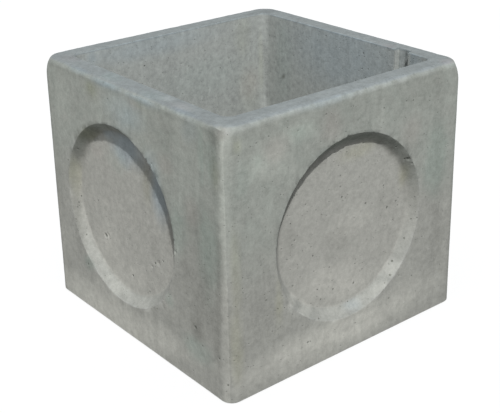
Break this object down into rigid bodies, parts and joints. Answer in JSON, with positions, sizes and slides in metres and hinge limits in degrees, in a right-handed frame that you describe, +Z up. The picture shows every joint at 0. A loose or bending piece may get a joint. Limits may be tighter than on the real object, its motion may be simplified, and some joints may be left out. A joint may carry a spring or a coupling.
{
  "type": "concrete inspection chamber",
  "caption": "Square cast concrete inspection chamber with an open top, rounded corners and a round blind pipe recess in each side.",
  "frame": {"origin": "centre of the base, on the ground", "axes": "+Z up through the open top; -Y out of the front, a side whose recess is centred; the sides along -X and +X have their recess 33 mm nearer the back"},
  "size_m": [0.48, 0.48, 0.421],
  "materials": {
    "concrete": "cast, fine sandy grain, matt"
  },
  "bodies": {
    "root": {"chamber": "concrete"}
  },
  "joints": []
}
